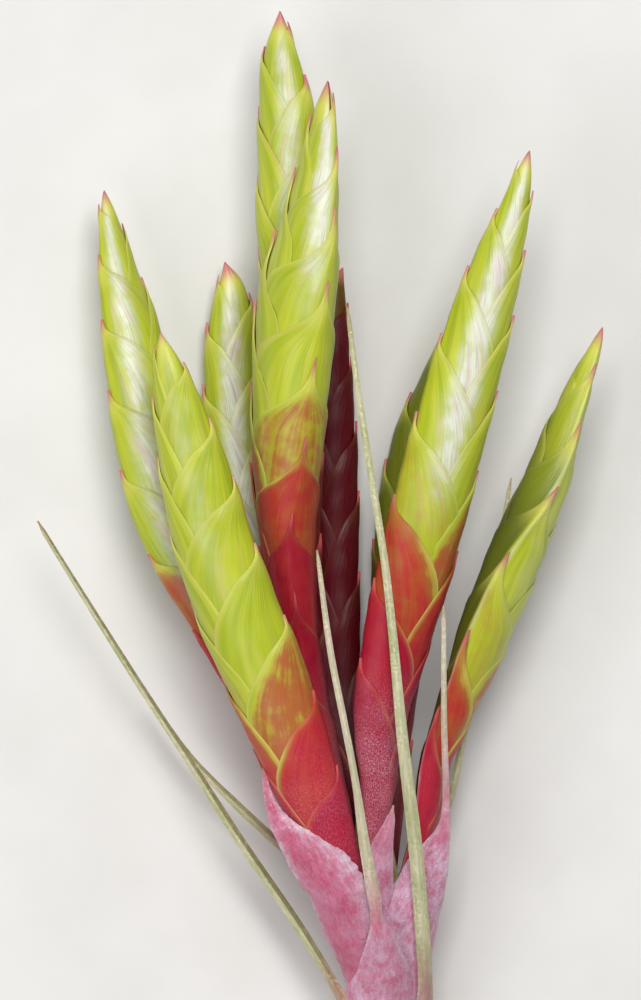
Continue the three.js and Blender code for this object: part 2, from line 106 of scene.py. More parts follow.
def tube(rings, lie, tone, edge):
    """A closed tube: each ring is joined to the next, and each end to a point in its ring's middle."""
    n, m = rings.shape[:2]

    def with_ends(values):
        return np.concatenate([values.reshape(n * m, -1), values[0].mean(0)[None], values[-1].mean(0)[None]])

    i, j = np.meshgrid(np.arange(n - 1), np.arange(m), indexing="ij")
    k = (j + 1) % m
    quads = np.stack([i * m + j, (i + 1) * m + j, (i + 1) * m + k, i * m + k], -1).reshape(-1, 4)
    j, k = np.arange(m), (np.arange(m) + 1) % m
    foot = np.stack([j, k, np.full(m, n * m)], -1)
    head = np.stack([(n - 1) * m + k, (n - 1) * m + j, np.full(m, n * m + 1)], -1)
    caps = np.concatenate([foot, head])
    return with_ends(rings), quads, caps, with_ends(lie), with_ends(tone), with_ends(edge)


def leaf(outer, inner, clearance, lie, tone, edge):
    """A closed thin leaf: a grid of outer points, the same grid of inner points turned over, and a strip of
    faces round the rim that joins the two. It is kept above the table, its outer side by the clearance."""
    outer[..., 2] = np.maximum(outer[..., 2], clearance)
    inner[..., 2] = np.maximum(inner[..., 2], 0)
    n, m = outer.shape[:2]

    def twice(values):
        return np.concatenate([values.reshape(n * m, -1)] * 2)

    grid = np.arange(n * m).reshape(n, m)
    under = grid + n * m
    rim = np.concatenate([grid[0], grid[1:, -1], grid[-1, -2::-1], grid[-2:0:-1, 0]])
    following = np.roll(rim, -1)
    quads = np.concatenate([
        np.stack([grid[:-1, :-1], grid[1:, :-1], grid[1:, 1:], grid[:-1, 1:]], -1).reshape(-1, 4),
        np.stack([under[:-1, :-1], under[:-1, 1:], under[1:, 1:], under[1:, :-1]], -1).reshape(-1, 4),
        np.stack([rim, following, following + n * m, rim + n * m], -1)])
    points = np.concatenate([outer.reshape(-1, 3), inner.reshape(-1, 3)])
    return points, quads, np.empty((0, 3), int), twice(lie), twice(tone), twice(edge)


def placed(name, data):
    """A new object in the scene: a mesh, a lamp or a camera."""
    thing = bpy.data.objects.new(name, data)
    bpy.context.scene.collection.objects.link(thing)
    return thing


def grown_piece(name, parts, material):
    """One mesh from several closed parts, moved to the origin and turned to metres. Its map "lie" holds
    centimetres across and along a part, and its colours "tone" and "edge" hold three shares each."""
    first = np.cumsum([0] + [len(part[0]) for part in parts])
    points, lie, tone, edge = (np.concatenate([part[i] for part in parts]) for i in (0, 3, 4, 5))
    quads, caps = (np.concatenate([part[i] + start for part, start in zip(parts, first)]) for i in (1, 2))
    corners = np.concatenate([quads.ravel(), caps.ravel()])
    sides = np.concatenate([np.full(len(quads), 4), np.full(len(caps), 3)])
    mesh = bpy.data.meshes.new(name)
    mesh.vertices.add(len(points))
    mesh.vertices.foreach_set("co", ((points + TO_ORIGIN) / 1000).ravel())
    mesh.loops.add(len(corners))
    mesh.loops.foreach_set("vertex_index", corners)
    mesh.polygons.add(len(sides))
    mesh.polygons.foreach_set("loop_start", np.concatenate([[0], np.cumsum(sides)[:-1]]))
    mesh.polygons.foreach_set("use_smooth", np.ones(len(sides), bool))
    mesh.update(calc_edges=True)
    mesh.uv_layers.new(name="lie").data.foreach_set("uv", lie[corners].ravel())
    for title, values in (("tone", tone), ("edge", edge)):
        four = np.concatenate([np.clip(values, 0, 1), np.ones((len(values), 1))], 1)
        mesh.attributes.new(title, "FLOAT_COLOR", "POINT").data.foreach_set("color", four.ravel())
    mesh.materials.append(material)
    piece = placed(name + "_grown", mesh)
    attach(piece, "root")
    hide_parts(name)


def join(tree, value, socket):
    """Links a node's output to a socket, or sets a plain value on it."""
    if isinstance(value, bpy.types.NodeSocket):
        tree.links.new(value, socket)
    else:
        socket.default_value = value


def mixed(tree, share, under, over):
    """The colour under where share is 0, over where it is 1."""
    node = tree.nodes.new("ShaderNodeMix")
    node.data_type = "RGBA"
    join(tree, share, node.inputs[0])
    join(tree, under, node.inputs[6])
    join(tree, over, node.inputs[7])
    return node.outputs[2]


def sum_of(tree, action, first, second, clamp):
    """Two numbers put together by a sum such as ADD, held between 0 and 1 where clamp says so."""
    node = tree.nodes.new("ShaderNodeMath")
    node.operation = action
    node.use_clamp = clamp
    join(tree, first, node.inputs[0])
    join(tree, second, node.inputs[1])
    return node.outputs[0]


def plus(tree, first, second, clamp=False):
    """first + second"""
    return sum_of(tree, "ADD", first, second, clamp)


def less(tree, first, second, clamp=False):
    """first - second"""
    return sum_of(tree, "SUBTRACT", first, second, clamp)


def times(tree, first, second, clamp=False):
    """first x second"""
    return sum_of(tree, "MULTIPLY", first, second, clamp)


def between(tree, value, low, high):
    """Share from 0 at low to 1 at high, eased at both ends."""
    node = tree.nodes.new("ShaderNodeMapRange")
    node.interpolation_type = "SMOOTHSTEP"
    join(tree, value, node.inputs["Value"])
    node.inputs["From Min"].default_value = low
    node.inputs["From Max"].default_value = high
    return node.outputs["Result"]


def noise(tree, place, spots, detail, rough):
    """Noise with the given number of spots per unit of the place."""
    node = tree.nodes.new("ShaderNodeTexNoise")
    for title, value in (("Scale", spots), ("Detail", detail), ("Roughness", rough)):
        node.inputs[title].default_value = value
    tree.links.new(place, node.inputs["Vector"])
    return node.outputs["Fac"]


def grain(tree, across, along, detail=3.0, seed=0.0, rough=0.5):
    """Noise drawn out along a part: the given number of spots per centimetre across it and along it."""
    place = tree.nodes.new("ShaderNodeUVMap")
    place.uv_map = "lie"
    turn = tree.nodes.new("ShaderNodeMapping")
    turn.inputs["Location"].default_value = (seed, seed, 0)
    turn.inputs["Scale"].default_value = (across, along, 1)
    tree.links.new(place.outputs["UV"], turn.inputs["Vector"])
    return noise(tree, turn.outputs["Vector"], 1.0, detail, rough)


def speckle(tree, per_metre, detail=4.0, rough=0.5):
    """Noise through the whole object, the given number of spots per metre."""
    place = tree.nodes.new("ShaderNodeTexCoord").outputs["Object"]
    return noise(tree, place, per_metre, detail, rough)


def shares(tree, title):
    """The three shares held in a piece's colour attribute."""
    held = tree.nodes.new("ShaderNodeAttribute")
    held.attribute_name = title
    split = tree.nodes.new("ShaderNodeSeparateColor")
    tree.links.new(held.outputs["Color"], split.inputs["Color"])
    return split.outputs[0], split.outputs[1], split.outputs[2]


def skin(name, coat=0.0):
    """A new material: its node tree and its shader, with the values that are the same all over it."""
    material = bpy.data.materials.new(name)
    material.use_nodes = True
    shader = material.node_tree.nodes["Principled BSDF"]
    shader.inputs["Coat Weight"].default_value = coat
    shader.inputs["Coat Roughness"].default_value = COAT_ROUGHNESS
    return material, material.node_tree, shader


def finish(tree, shader, paint, roughness, height, depth):
    """Gives the shader its colour, its roughness and small relief of the given depth in metres."""
    join(tree, paint, shader.inputs["Base Color"])
    join(tree, roughness, shader.inputs["Roughness"])
    node = tree.nodes.new("ShaderNodeBump")
    node.inputs["Distance"].default_value = depth
    tree.links.new(height, node.inputs["Height"])
    tree.links.new(node.outputs["Normal"], shader.inputs["Normal"])


STALK_DEEP, STALK_PALE = colour(150, 128, 82), colour(176, 164, 106)
STALK_BLOOM, BLOOM = colour(214, 186, 176), 0.6
CUT_DEEP, CUT_PALE = colour(196, 206, 138), colour(226, 226, 178)
STALK_ROUGHNESS, STALK_RELIEF = 0.55, 0.00012  # the relief in metres


def stalk_material():
    """Two colours in streaks along the stalk, a pinkish bloom in patches, and pale flecks on the cut."""
    material, tree, shader = skin("stalk_skin")
    cut, _, _ = shares(tree, "tone")
    fibres = grain(tree, across=24, along=1.2)
    side = mixed(tree, between(tree, fibres, 0.35, 0.65), STALK_DEEP, STALK_PALE)
    bloom = times(tree, between(tree, speckle(tree, 700), 0.5, 0.62), BLOOM)
    side = mixed(tree, bloom, side, STALK_BLOOM)
    face = mixed(tree, between(tree, speckle(tree, 1500), 0.4, 0.6), CUT_DEEP, CUT_PALE)
    finish(tree, shader, mixed(tree, cut, side, face), STALK_ROUGHNESS, fibres, STALK_RELIEF)
    return material


def ridged_stalk(rows):
    """A tube along the rows. Its radius is the rows' own plus the ridge height times the cosine of the angle
    times the number of ridges, a little less at the rim of the cut. No point lies below the table."""
    path = smooth_path(rows)
    s = path[1][-1] * np.concatenate([CUT_RINGS, np.linspace(FIRST_RING, 1, STALK_RINGS)])
    columns, side, front = along_path(path, s)
    angle = np.linspace(0, 2 * np.pi, STALK_COLUMNS + 1)[:-1]
    radius = columns[:, 3, None] * (1 - CUT_ROUNDING * ease(CUT_ROUNDED, 0, s)[:, None])
    radius = radius + RIDGE_HEIGHT * np.cos(STALK_RIDGES * angle)
    radius = np.where(s[:, None] == 0, CUT_RING_WIDTH * radius, radius)
    spoke = side[:, None] * np.cos(angle)[:, None] + front[:, None] * np.sin(angle)[:, None]
    rings = columns[:, None, :3] + radius[..., None] * spoke
    rings[..., 2] = np.maximum(rings[..., 2], 0)
    lie = layers(angle * STALK_CENTIMETRES, s[:, None] / 10)
    tone = layers(ease(*CUT_FADE, s)[:, None], 0 * angle, 0)
    return tube(rings, lie, tone, 0 * tone)


grown_piece("scape", [ridged_stalk(STALK_ROWS)], stalk_material())

# The leaf-like bracts on the stalk: thin sheaths of tough dry leaf, pink or straw, dusted with white scurf.
# Each grows from a ring on the stalk, hugs the stalk or the foot of the spike above it, and runs out into a
# narrow blade that is folded along its middle. Its margins are thin and papery.

SHEATH_WALL, BLADE_WALL = 0.55, 0.9
MARGIN_THINNING, EDGE_POWER = 0.8, 6  # share of the wall lost at the margins; the higher, the nearer to them
THICKEST = 0.62  # a wall's limit, as a share of the radius of its arc
SHEATH_COLUMNS, LEAST_ROWS, ROWS_PER_MILLIMETRE = 27, 90, 1.3
BLADE_WIDTHS = (3.2, 1.2)  # half widths at which a sheath starts to be blade, and is all blade
END_NARROWING, END_LENGTH = 0.6, 3  # share of its width that a blade loses at its end, and over what length
WAVES = ((1, 0.3), (1.6, 0.8), (4, 2.3))  # how many times weaker than the first, radians per millimetre
WAVE_LAG, FULL_TURN = 2, 6.3  # radians from the middle to the margin, and of a wave's random start
CRIMPS = ((3.1, 5), (5.3, -4))  # radians per millimetre, radians from the middle to the margin
FRILL_POWER, CRIMP_POWER = 7, 9  # the higher, the nearer to the margin
WAVED_WIDTH = 6  # half width from which a sheath waves in full
BODY_WAVE = 0.05
KEEL_HEIGHT, KEEL_WIDTH, KEEL_FULL = 0.22, 0.5, 1.5  # in full from the half width KEEL_FULL on
SHEATH_KEEL = 0.3  # share of the keel's height on a sheath
RIB_HEIGHT, RIB_SPACING, RIB_POWER = 0.035, 0.9, 4  # the higher the power, the nearer to the margins
BLADE_RIBS = 0.5  # share of the ribs' height that is lost on a blade
NARROW, STRAW_AHEAD = 1.6, 4  # straw starts this far below the place where the half width is NARROW
HEART_LEAST, HEART_REACH = 0.15, 1.4
DIM_SIDE, FLAKY_SIDE = (0.1, -0.15), (-0.1, -0.8)  # where the painted shade and the flaky scurf start and are full; -1 is the right margin
# half width of the painted highlight along a blade's crest, as a share of the half width
RIDGE_WIDTH = 0.3
BLADE_MARGIN, BLADE_SCURF = 0.6, 0.4  # shares of the margin and of the scurf that are lost on a blade
TIP_START = 0.94  # share of the length at which the withered tip starts
TABLE_CLEARANCE = 0.02


def wrapping_bract(rows, scurf, seed, frill=0.0, crimp=0.0, pink=1.0, fade=16, dim=0.0, papery=0.7,
                   flaky=0.0):
    """A sheath and its blade. Across, it is an arc of radius w / sin(half) from -half to +half about a line
    below its crest; along, crest, half width w, half angle and roll follow the rows, and the end narrows.
    Where the sheath is wide, its margins wave by the frill and the right one is crimped. A keel runs down its
    middle with fine ribs beside it, and the wall thins to the margins. The shares are straw, deeper colour
    with painted shade, and ridge, a painted highlight along the blade's crest; margin, tip and scurf. Straw
    comes in over the length fade. The deeper colour is pink along the middle of the sheath, and painted shade
    on the right of the blade. Flaky adds scurf on the right of the sheath."""
    draws = np.random.default_rng(seed)
    path = smooth_path(rows)
    length = path[1][-1]
    s = length * np.linspace(0, 1, max(LEAST_ROWS, int(length * ROWS_PER_MILLIMETRE)))
    columns, side, front = along_path(path, s)
    w, half, roll = columns[:, 3], np.radians(columns[:, 4]), np.radians(columns[:, 5])
    w = w * (1 - END_NARROWING * ease(length - END_LENGTH, length, s))
    v = np.sin(np.linspace(-1, 1, SHEATH_COLUMNS) * np.pi / 2)
    blade = ease(*BLADE_WIDTHS, w)[:, None]
    turn, tilt = np.cos(roll)[:, None], np.sin(roll)[:, None]
    out, over = front * turn - side * tilt, side * turn + front * tilt
    radius = (w / np.sin(half))[:, None]
    a = -v * half[:, None]

    wide = np.minimum(w, WAVED_WIDTH)[:, None] / WAVED_WIDTH
    waves = sum(np.sin(s[:, None] * rate + v * WAVE_LAG + draws.uniform(0, FULL_TURN)) / weaker
                for weaker, rate in WAVES)
    waves = waves * wide * (BODY_WAVE + frill * np.abs(v) ** FRILL_POWER)
    puckers = sum(np.sin(s[:, None] * rate + lag * v) for rate, lag in CRIMPS)
    waves = waves + crimp * wide * np.clip(-v, 0, 1) ** CRIMP_POWER * puckers
    keel = KEEL_HEIGHT * np.exp(-(a * radius / KEEL_WIDTH) ** 2) * (SHEATH_KEEL + (1 - SHEATH_KEEL) * blade)
    keel = keel * np.minimum(w, KEEL_FULL)[:, None] / KEEL_FULL
    ribs = RIB_HEIGHT * np.cos(a * radius * 2 * np.pi / RIB_SPACING) * (1 - np.abs(v) ** RIB_POWER)
    ribs = ribs * (1 - BLADE_RIBS * blade)
    wall = (SHEATH_WALL + (BLADE_WALL - SHEATH_WALL) * blade) * (1 - MARGIN_THINNING * v ** EDGE_POWER)
    wall = np.minimum(wall, THICKEST * radius)
    spoke = out[:, None] * np.cos(a)[..., None] + over[:, None] * np.sin(a)[..., None]
    middle = (columns[:, :3] - out * radius)[:, None]
    lifted = radius + waves + keel + ribs
    outer = middle + spoke * lifted[..., None]
    inner = middle + spoke * (lifted - wall)[..., None]

    widest = np.argmax(w)
    narrow = np.interp(-NARROW, -w[widest:], s[widest:])
    straw = ease(narrow - STRAW_AHEAD, narrow + fade, s)[:, None]
    heart = pink * (1 - straw) * (HEART_LEAST + (1 - HEART_LEAST) * np.cos(HEART_REACH * a) ** 2)
    # painted shade on the right half of the blade, carried with the pink heart
    heart = heart + dim * straw * ease(*DIM_SIDE, v)
    # painted highlight along the blade's crest
    ridge = np.exp(-(v / RIDGE_WIDTH) ** 2) * blade
    margin = np.exp(-((1 - np.abs(v)) * half[:, None] * radius / papery) ** 2) * (1 - BLADE_MARGIN * blade)
    tip = ease(TIP_START, 1.0, s / length)[:, None]
    dust = scurf * (1 - BLADE_SCURF * blade) + flaky * (1 - straw) * ease(*FLAKY_SIDE, v)
    lie = layers(a * radius / 10, s[:, None] / 10)
    return leaf(outer, inner, TABLE_CLEARANCE, lie, layers(straw, heart, ridge), layers(margin, tip, dust))


SCURF_WHITE, BLADE_DUST = colour(240, 214, 238), colour(230, 222, 206)
# Painted highlight for a blade's crest, and painted shade for its right half
RIDGE_PALE, BLADE_DIM = colour(228, 224, 190), colour(112, 104, 40)
WITHERED = colour(170, 130, 90)
BAND_SHARE, FIBRE_SHARE = 0.6, 0.4
HAZE_LEAST, HAZE, SPECKS, HEART_CLEAN = 0.12, 0.55, 0.55, 0.15
CLOUDED, RIDGE_SHARE, BLADE_DUSTED, WITHERING = 0.85, 0.4, 0.5, 0.5
PAPER_LEAST, PAPER_FLECKS = 0.2, 0.65
LEAF_ROUGHNESS, DUST_ROUGHNESS = 0.4, 0.3
LEAF_RELIEF, SPECK_HEIGHT = 0.00012, 0.5  # metres, and a share of the fibres' height


def dry_leaf(name, sheath_deep, sheath_pale, blade_deep, blade_pale, papery):
    """The leaf of a wrapping bract: streaks of two colours on the sheath, clouded with the deeper one along
    its middle, and of two on the blade, with a painted highlight along its ridge and painted shade on its
    right half. White scurf lies on it as a haze with specks, thinly on the blade. The margin is papery in
    flecks and the tip is withered."""
    material, tree, shader = skin(name)
    blade, heart, ridge = shares(tree, "tone")
    margin, tip, scurf = shares(tree, "edge")
    fibres = grain(tree, across=28, along=2.6)
    bands = grain(tree, across=3.5, along=0.8)
    streaks = plus(tree, times(tree, bands, BAND_SHARE), times(tree, fibres, FIBRE_SHARE))

    smears = grain(tree, across=14, along=5, detail=5.0, seed=7.0, rough=0.6)
    haze = between(tree, plus(tree, speckle(tree, 300, detail=6.0), smears), 0.75, 1.3)
    haze = plus(tree, HAZE_LEAST, times(tree, haze, HAZE))
    specks = between(tree, speckle(tree, 1700, detail=5.0, rough=0.95), 0.47, 0.6)
    dust = plus(tree, haze, times(tree, specks, SPECKS))
    dust = times(tree, dust, less(tree, scurf, times(tree, heart, HEART_CLEAN)), clamp=True)

    clouds = times(tree, between(tree, speckle(tree, 120, detail=3.0), 0.3, 0.62), CLOUDED)
    sheath = mixed(tree, between(tree, streaks, 0.3, 0.72), sheath_deep, sheath_pale)
    sheath = mixed(tree, times(tree, heart, clouds), sheath, sheath_deep)
    sheath = mixed(tree, dust, sheath, SCURF_WHITE)
    straw = mixed(tree, between(tree, streaks, 0.36, 0.62), blade_deep, blade_pale)
    # painted highlight along the ridge, then painted shade on the right half
    straw = mixed(tree, times(tree, ridge, RIDGE_SHARE), straw, RIDGE_PALE)
    straw = mixed(tree, heart, straw, BLADE_DIM)
    straw = mixed(tree, times(tree, dust, BLADE_DUSTED), straw, BLADE_DUST)
    ground = mixed(tree, blade, sheath, straw)
    flecks = between(tree, speckle(tree, 650, detail=5.0, rough=0.7), 0.44, 0.58)
    paper = times(tree, margin, plus(tree, PAPER_LEAST, times(tree, flecks, PAPER_FLECKS)))
    ground = mixed(tree, paper, ground, papery)
    ground = mixed(tree, times(tree, tip, WITHERING), ground, WITHERED)
    rough = plus(tree, LEAF_ROUGHNESS, times(tree, dust, DUST_ROUGHNESS))
    finish(tree, shader, ground, rough, plus(tree, fibres, times(tree, specks, SPECK_HEIGHT)), LEAF_RELIEF)
    return material


dry = {
    "blade": dry_leaf(
        "straw_leaf", sheath_deep=colour(176, 120, 106), sheath_pale=colour(208, 176, 152),
        blade_deep=colour(172, 180, 112), blade_pale=colour(216, 210, 170), papery=colour(222, 212, 178)),
    "sheath": dry_leaf(
        "pink_leaf", sheath_deep=colour(196, 38, 88), sheath_pale=colour(218, 116, 154),
        blade_deep=colour(186, 178, 124), blade_pale=colour(216, 206, 168), papery=colour(234, 214, 224))}

FRONT_STALK_BRACT = [  # x, y, z of the crest, half width, half angle, roll
    (15.6, -27, 11.2, 5.2, 72, -25), (16.6, -18, 13.4, 5.2, 70, -28), (19.4, -8, 15.8, 3.6, 64, -28),
    (21.3, 0, 19.5, 1.7, 50, -20), (20.6, 12.2, 26, 1.5, 45, 0), (18.9, 32.2, 34, 1.4, 45, 0),
    (16.5, 52, 40, 1.15, 45, 0), (14.2, 76.2, 42, 0.85, 45, 0), (12.4, 91, 42.2, 0.75, 40, 0),
    (8, 119, 40, 0.65, 40, 0), (5.4, 138.6, 38.5, 0.4, 30, 0)]
LEFT_STALK_BRACT = [
    (9.4, -22, 11.6, 5.2, 75, 40), (8, -12, 13.6, 4.6, 70, 45), (5.8, -4, 15.2, 2.4, 60, 35),
    (3.4, 1.6, 16.4, 1.1, 45, 10), (-4, 14, 17.4, 1, 45, 0), (-16.4, 32.2, 17.4, 0.95, 45, 0),
    (-26, 47.2, 17, 0.8, 45, 0), (-38.2, 66, 18, 0.7, 40, 0), (-52.8, 89.4, 21, 0.5, 40, 0),
    (-56.6, 95.8, 22, 0.4, 30, 0)]
BRACT_C = [
    (12.9, -17, 14, 5.8, 82, 0), (12.8, -10, 16.6, 6.6, 80, 0), (12.6, -4, 19, 7.1, 76, 0),
    (12.5, 0, 21.2, 7.2, 72, 0), (12.6, 5.4, 25.6, 4.9, 62, 0), (12.2, 12.2, 30.6, 2.6, 52, 0),
    (11.4, 16.4, 32.6, 1.3, 45, 0), (10.6, 22, 34.2, 1.4, 45, 0), (8.9, 31.2, 36, 1.1, 45, 0),
    (7.1, 43.6, 38, 0.75, 40, 0), (4.8, 55.8, 39, 0.7, 40, 0), (2, 70.4, 39, 0.65, 40, 0),
    (-0.6, 90, 37.5, 0.4, 30, 0)]
BRACT_A = [
    (10.3, -5, 16.9, 4.6, 65, 25), (8.2, 4, 21, 5.2, 60, 24), (5.9, 11, 26.6, 5.6, 55, 22),
    (2.3, 21.4, 33, 6.3, 55, 20), (-2.2, 28.4, 35, 5.2, 50, 18), (-6, 32.4, 35.2, 3.2, 45, 15),
    (-8.8, 36.6, 34.8, 1.9, 42, 10), (-10.4, 41, 34, 0.9, 40, 5), (-11.4, 46.6, 33, 0.4, 30, 0)]
BRACT_I = [
    (14.9, -7, 16.5, 5, 70, -20), (17.2, 5, 20.8, 5.8, 65, -18), (18.8, 16, 25.4, 6.1, 60, -14),
    (20.5, 22.2, 27.4, 5, 55, -10), (21.8, 26.6, 28.4, 4.2, 52, -8), (23.5, 30.6, 29, 2.6, 48, -5),
    (24.9, 35, 29.6, 1.2, 45, 0), (25.2, 41.4, 30.4, 0.7, 40, 0), (24.8, 56.2, 33, 0.6, 40, 0),
    (24.7, 79, 36, 0.4, 30, 0)]
BRACT_G = [
    (12.2, 4, 20.2, 2.6, 60, 0), (11.8, 15, 24.4, 3.4, 62, 0), (11.4, 23.4, 28.6, 3.2, 62, 0),
    (12.5, 30.6, 30.4, 2.2, 55, 0), (13.9, 35.4, 31, 1.1, 45, 0), (14.7, 39, 31.4, 0.4, 30, 0)]
BRACT_E = [
    (8, 6, 11.1, 3, 68, 130), (6.6, 18, 12.2, 3.6, 66, 130), (4.6, 30, 12, 3, 60, 140),
    (1.2, 39, 9, 1.5, 48, 150), (-1.2, 47, 7.6, 0.4, 30, 160)]
BRACT_F = [
    (12.2, 4, 8.4, 3, 68, 180), (11.4, 16, 11.6, 3.6, 66, 180), (10.2, 28, 11.2, 3, 60, 180),
    (8.8, 38, 8.4, 1.5, 48, 180), (7.8, 46, 6, 0.4, 30, 180)]
BRACT_B = [
    (7.2, 8, 18, 3.2, 70, 60), (3.6, 19, 17.6, 3.4, 66, 55), (-3.4, 27.4, 16, 1.8, 55, 20),
    (-7.6, 30.4, 14.6, 1, 45, 0), (-16.4, 38.4, 12.6, 0.9, 45, 0), (-26, 48.2, 11, 0.7, 40, 0),
    (-35, 61, 11, 0.4, 30, 0)]
BRACT_H = [
    (17.6, 8, 13.4, 3, 70, -110), (17.6, 20, 13.6, 3.6, 68, -115), (21.2, 31, 13, 1.9, 55, -90),
    (25.9, 38.8, 14, 0.9, 45, -30), (28.2, 49.4, 14.8, 0.7, 45, 0), (33.4, 77, 15.6, 0.6, 40, 0),
    (38.4, 104.4, 16, 0.4, 30, 0)]

for name, rows, slot, own in (
        ("scape_bract_front", FRONT_STALK_BRACT, "blade", dict(scurf=0.5, seed=1)),
        ("scape_bract_left", LEFT_STALK_BRACT, "blade", dict(scurf=0.4, dim=0.8, seed=2)),
        ("bract_c", BRACT_C, "sheath", dict(frill=0.06, scurf=0.8, pink=0.4, seed=3)),
        ("bract_a", BRACT_A, "sheath", dict(
            frill=0.12, crimp=0.3, scurf=0.5, pink=1.15, fade=60, papery=1.5, flaky=0.5, seed=4)),
        ("bract_i", BRACT_I, "sheath", dict(frill=0.06, scurf=1.0, pink=0.5, fade=30, seed=5)),
        ("bract_g", BRACT_G, "sheath", dict(frill=0.1, scurf=0.85, pink=0.4, fade=40, seed=6)),
        ("bract_e", BRACT_E, "sheath", dict(scurf=0.5, seed=7)),
        ("bract_f", BRACT_F, "sheath", dict(scurf=0.5, seed=8)),
        ("bract_b", BRACT_B, "blade", dict(scurf=0.3, dim=0.6, seed=9)),
        ("bract_h", BRACT_H, "blade", dict(scurf=0.3, seed=10))):
    grown_piece(name, [wrapping_bract(rows, **own)], dry[slot])

# The spikes: flattened sword-like ears of two rows of stiff waxy bracts, each of which clasps the ear and
# overlaps the next above it like a roof tile. The low bracts are crimson and the upper ones lime, with thin
# pale margins and pink pointed tips. A soft core of young buds fills the ear.

FLATNESS = 0.73  # thickness of an ear over its width
CREST, CREST_FULL = 0.15, 3  # added to the half width, in full from this half width on
LEAST_WIDTH = 0.4
POINTED, POINT_SHARE = 2.2, 0.14  # an ear's end narrows over this length, to this share of its width
FULL_ROOM = 4.5  # half width from which bracts have all their lift
MOST_BRACTS = 40
BRACT_LENGTH, TIP_BRACT_LENGTH, LENGTH_GROWTH = 40, 22, 2.2
BRACT_STEP, TIP_STEP, STEP_GROWTH = 8, 4, 0.5
FIRST_CROWDED, CROWDED_BRACTS = 0.45, 1.2
LOWEST_TIP = 28
TIP_JITTER, MOST_TIP_JITTER = 0.25, 0.5
WRAP_JITTER, TURN_JITTER, LIFT_JITTER, AWL_JITTER = 0.02, 0.03, 0.03, 0.08
BRACT_ROWS, BRACT_COLUMNS = 30, 33
ROW_CROWDING = 1.7  # the higher, the closer the rows near a bract's tip
YOUNG_BRACTS = 4
WRAP, CONE_WRAP = 2.27, 3.05  # half angle by which a bract, and the closed one at the top, clasps the ear
SHOULDER, CONE_SHOULDER = 3.0, 60  # the higher, the nearer to the tip a bract starts to narrow
SHARPNESS, YOUNG_SHARPNESS, CONE_SHARPNESS = 1.1, 0.5, 0.5
AWL_START, AWL_END = 0.4, 1.7  # shares of a point's length between which it widens into the bract
YOUNG_AWL = 0.6  # share by which a young bract's point is shorter
AWL_HALF, CONE_HALF = 0.07, 0.06  # least half width of a point in millimetres, of the closed one in radians
FRONT_TRIM, BACK_WIDENING = 0.4, 0.3  # for a left row that is turned to the ear's left edge
BRACT_DEPTH, TIP_HUG = 1.35, 0.08
TIP_SPREAD = (0, 0.6, 0.4, 0.1)  # how far the first tips stand off the ear
SPREAD_START, HUG_START = 0.76, 0.8  # shares of a bract's length
MARGIN_PRESS, SHOULDER_PRESS, SHOULDER_ANGLES = 0.2, 0.2, (1.7, 1.0)
RIPPLE, RIPPLE_RATE, RIPPLE_LAG = 0.05, 0.8, 3
MARGIN_WALL, BRACT_WALL = 0.07, 0.3
TIP_WALL, TIP_WALL_GROWTH = 0.45, 3  # share of the wall at a tip, and its growth over a bract's length
BRACT_CLEARANCE, CORE_CLEARANCE = 0.01, 0.05
CORE_DEPTH, CORE_SHORT, CORE_OVERLAP, CORE_FOOT = 2.1, 1.5, 14, 0.5
CORE_TAPER, CORE_TAPERED = 0.8, 9  # share of its width that the core loses, and over what length
CORE_RISE, CORE_RISING = 0.8, (20, 6)  # less deep by this near the end, from so far off it and in full
CORE_RINGS, CORE_COLUMNS = 44, 28
BRACT_CENTIMETRES, CORE_CENTIMETRES, MAP_STEP = 1.1, 0.5, 3  # half width, radius and step in the map
MARGIN_WIDTH, RED_MARGIN, RED_MARGIN_FROM = 0.8, 0.5, 2  # margins are fainter after this many red bracts
BORDERS = (  # up to this bract after the first red one: width and strength of the border that stays pale
    (0, 2.4, 0.85), (1, 1.3, 0.8), (MOST_BRACTS, 0.6, 0.45))
BORDER_START = (2, 11)  # the border comes in this far below a red tip
RED_TIP_SHARE, RED_TIP_LENGTH = 0.7, 0.2
DUSK_SIDE, DUSK_END = (-0.05, 0.15), (0.95, 0.6)  # where painted shade on the face comes in: of the sine of the angle, and of the ear's length
STREAK_WIDTH, STREAK_FADE = 0.42, 0.25  # of the silver streak, partly a painted highlight: shares of the half width and of the length
LINE_WIDTH, PINK_WIDTH = 0.05, 0.9  # radians
PINK_FADE = 2.2  # the pink is gone this many times its length below the tip
FROSTED = (46, 22)  # how far from the foot scurf ends, and up to where it is full
# least painted shade on a red core
CORE_MAROON = 0.3


class Ear:
    """One ear: the smooth line through its rows, its length, the number of its first red bract, counted from
    the top, and the settings below, each as in a plain ear unless the spike gives its own."""
    stretch = 1.0  # by how much the steps between tips are drawn out
    first = "right"  # the side of the topmost bract
    awl = 3.5  # length of a bract's narrow point
    awl_share = 0.3  # share of the bract's width that the point keeps
    ridge = (0.2, 0.28)  # height of the line down a bract, and its half width in radians
    lean = 0.0  # share by which the right row reaches further round the face, and the left row less far
    gather = 0.0  # share by which the left row is turned to the left edge of the ear as it is seen
    line = 0.0  # strength of a silver line along the ridge, partly a painted highlight
    silver = (0, 0, 0.4)  # a silver streak, partly waxy bloom and partly a painted highlight: strength, shift to the right, share of the length where it starts
    olive = 0.0  # painted shade all over
    dark = 0.0  # painted shade that goes with the red
    dusk = 0.0  # painted shade on the face, up to near the top
    frost = 0.1  # scurf on the foot
    deep = 1.0  # how red the lowest bracts are
    early = 0.0  # by how many bracts the red starts higher up
    soft = 2.7  # how many bracts above and below the first red one it takes to come in
    blush = 0.85  # strength of the pink tips
    blushing = 4.5  # length of the pink tips

    def __init__(self, rows, reds, given):
        vars(self).update(given)
        self.path = smooth_path(rows)
        self.length = self.path[1][-1]
        self.reds = reds


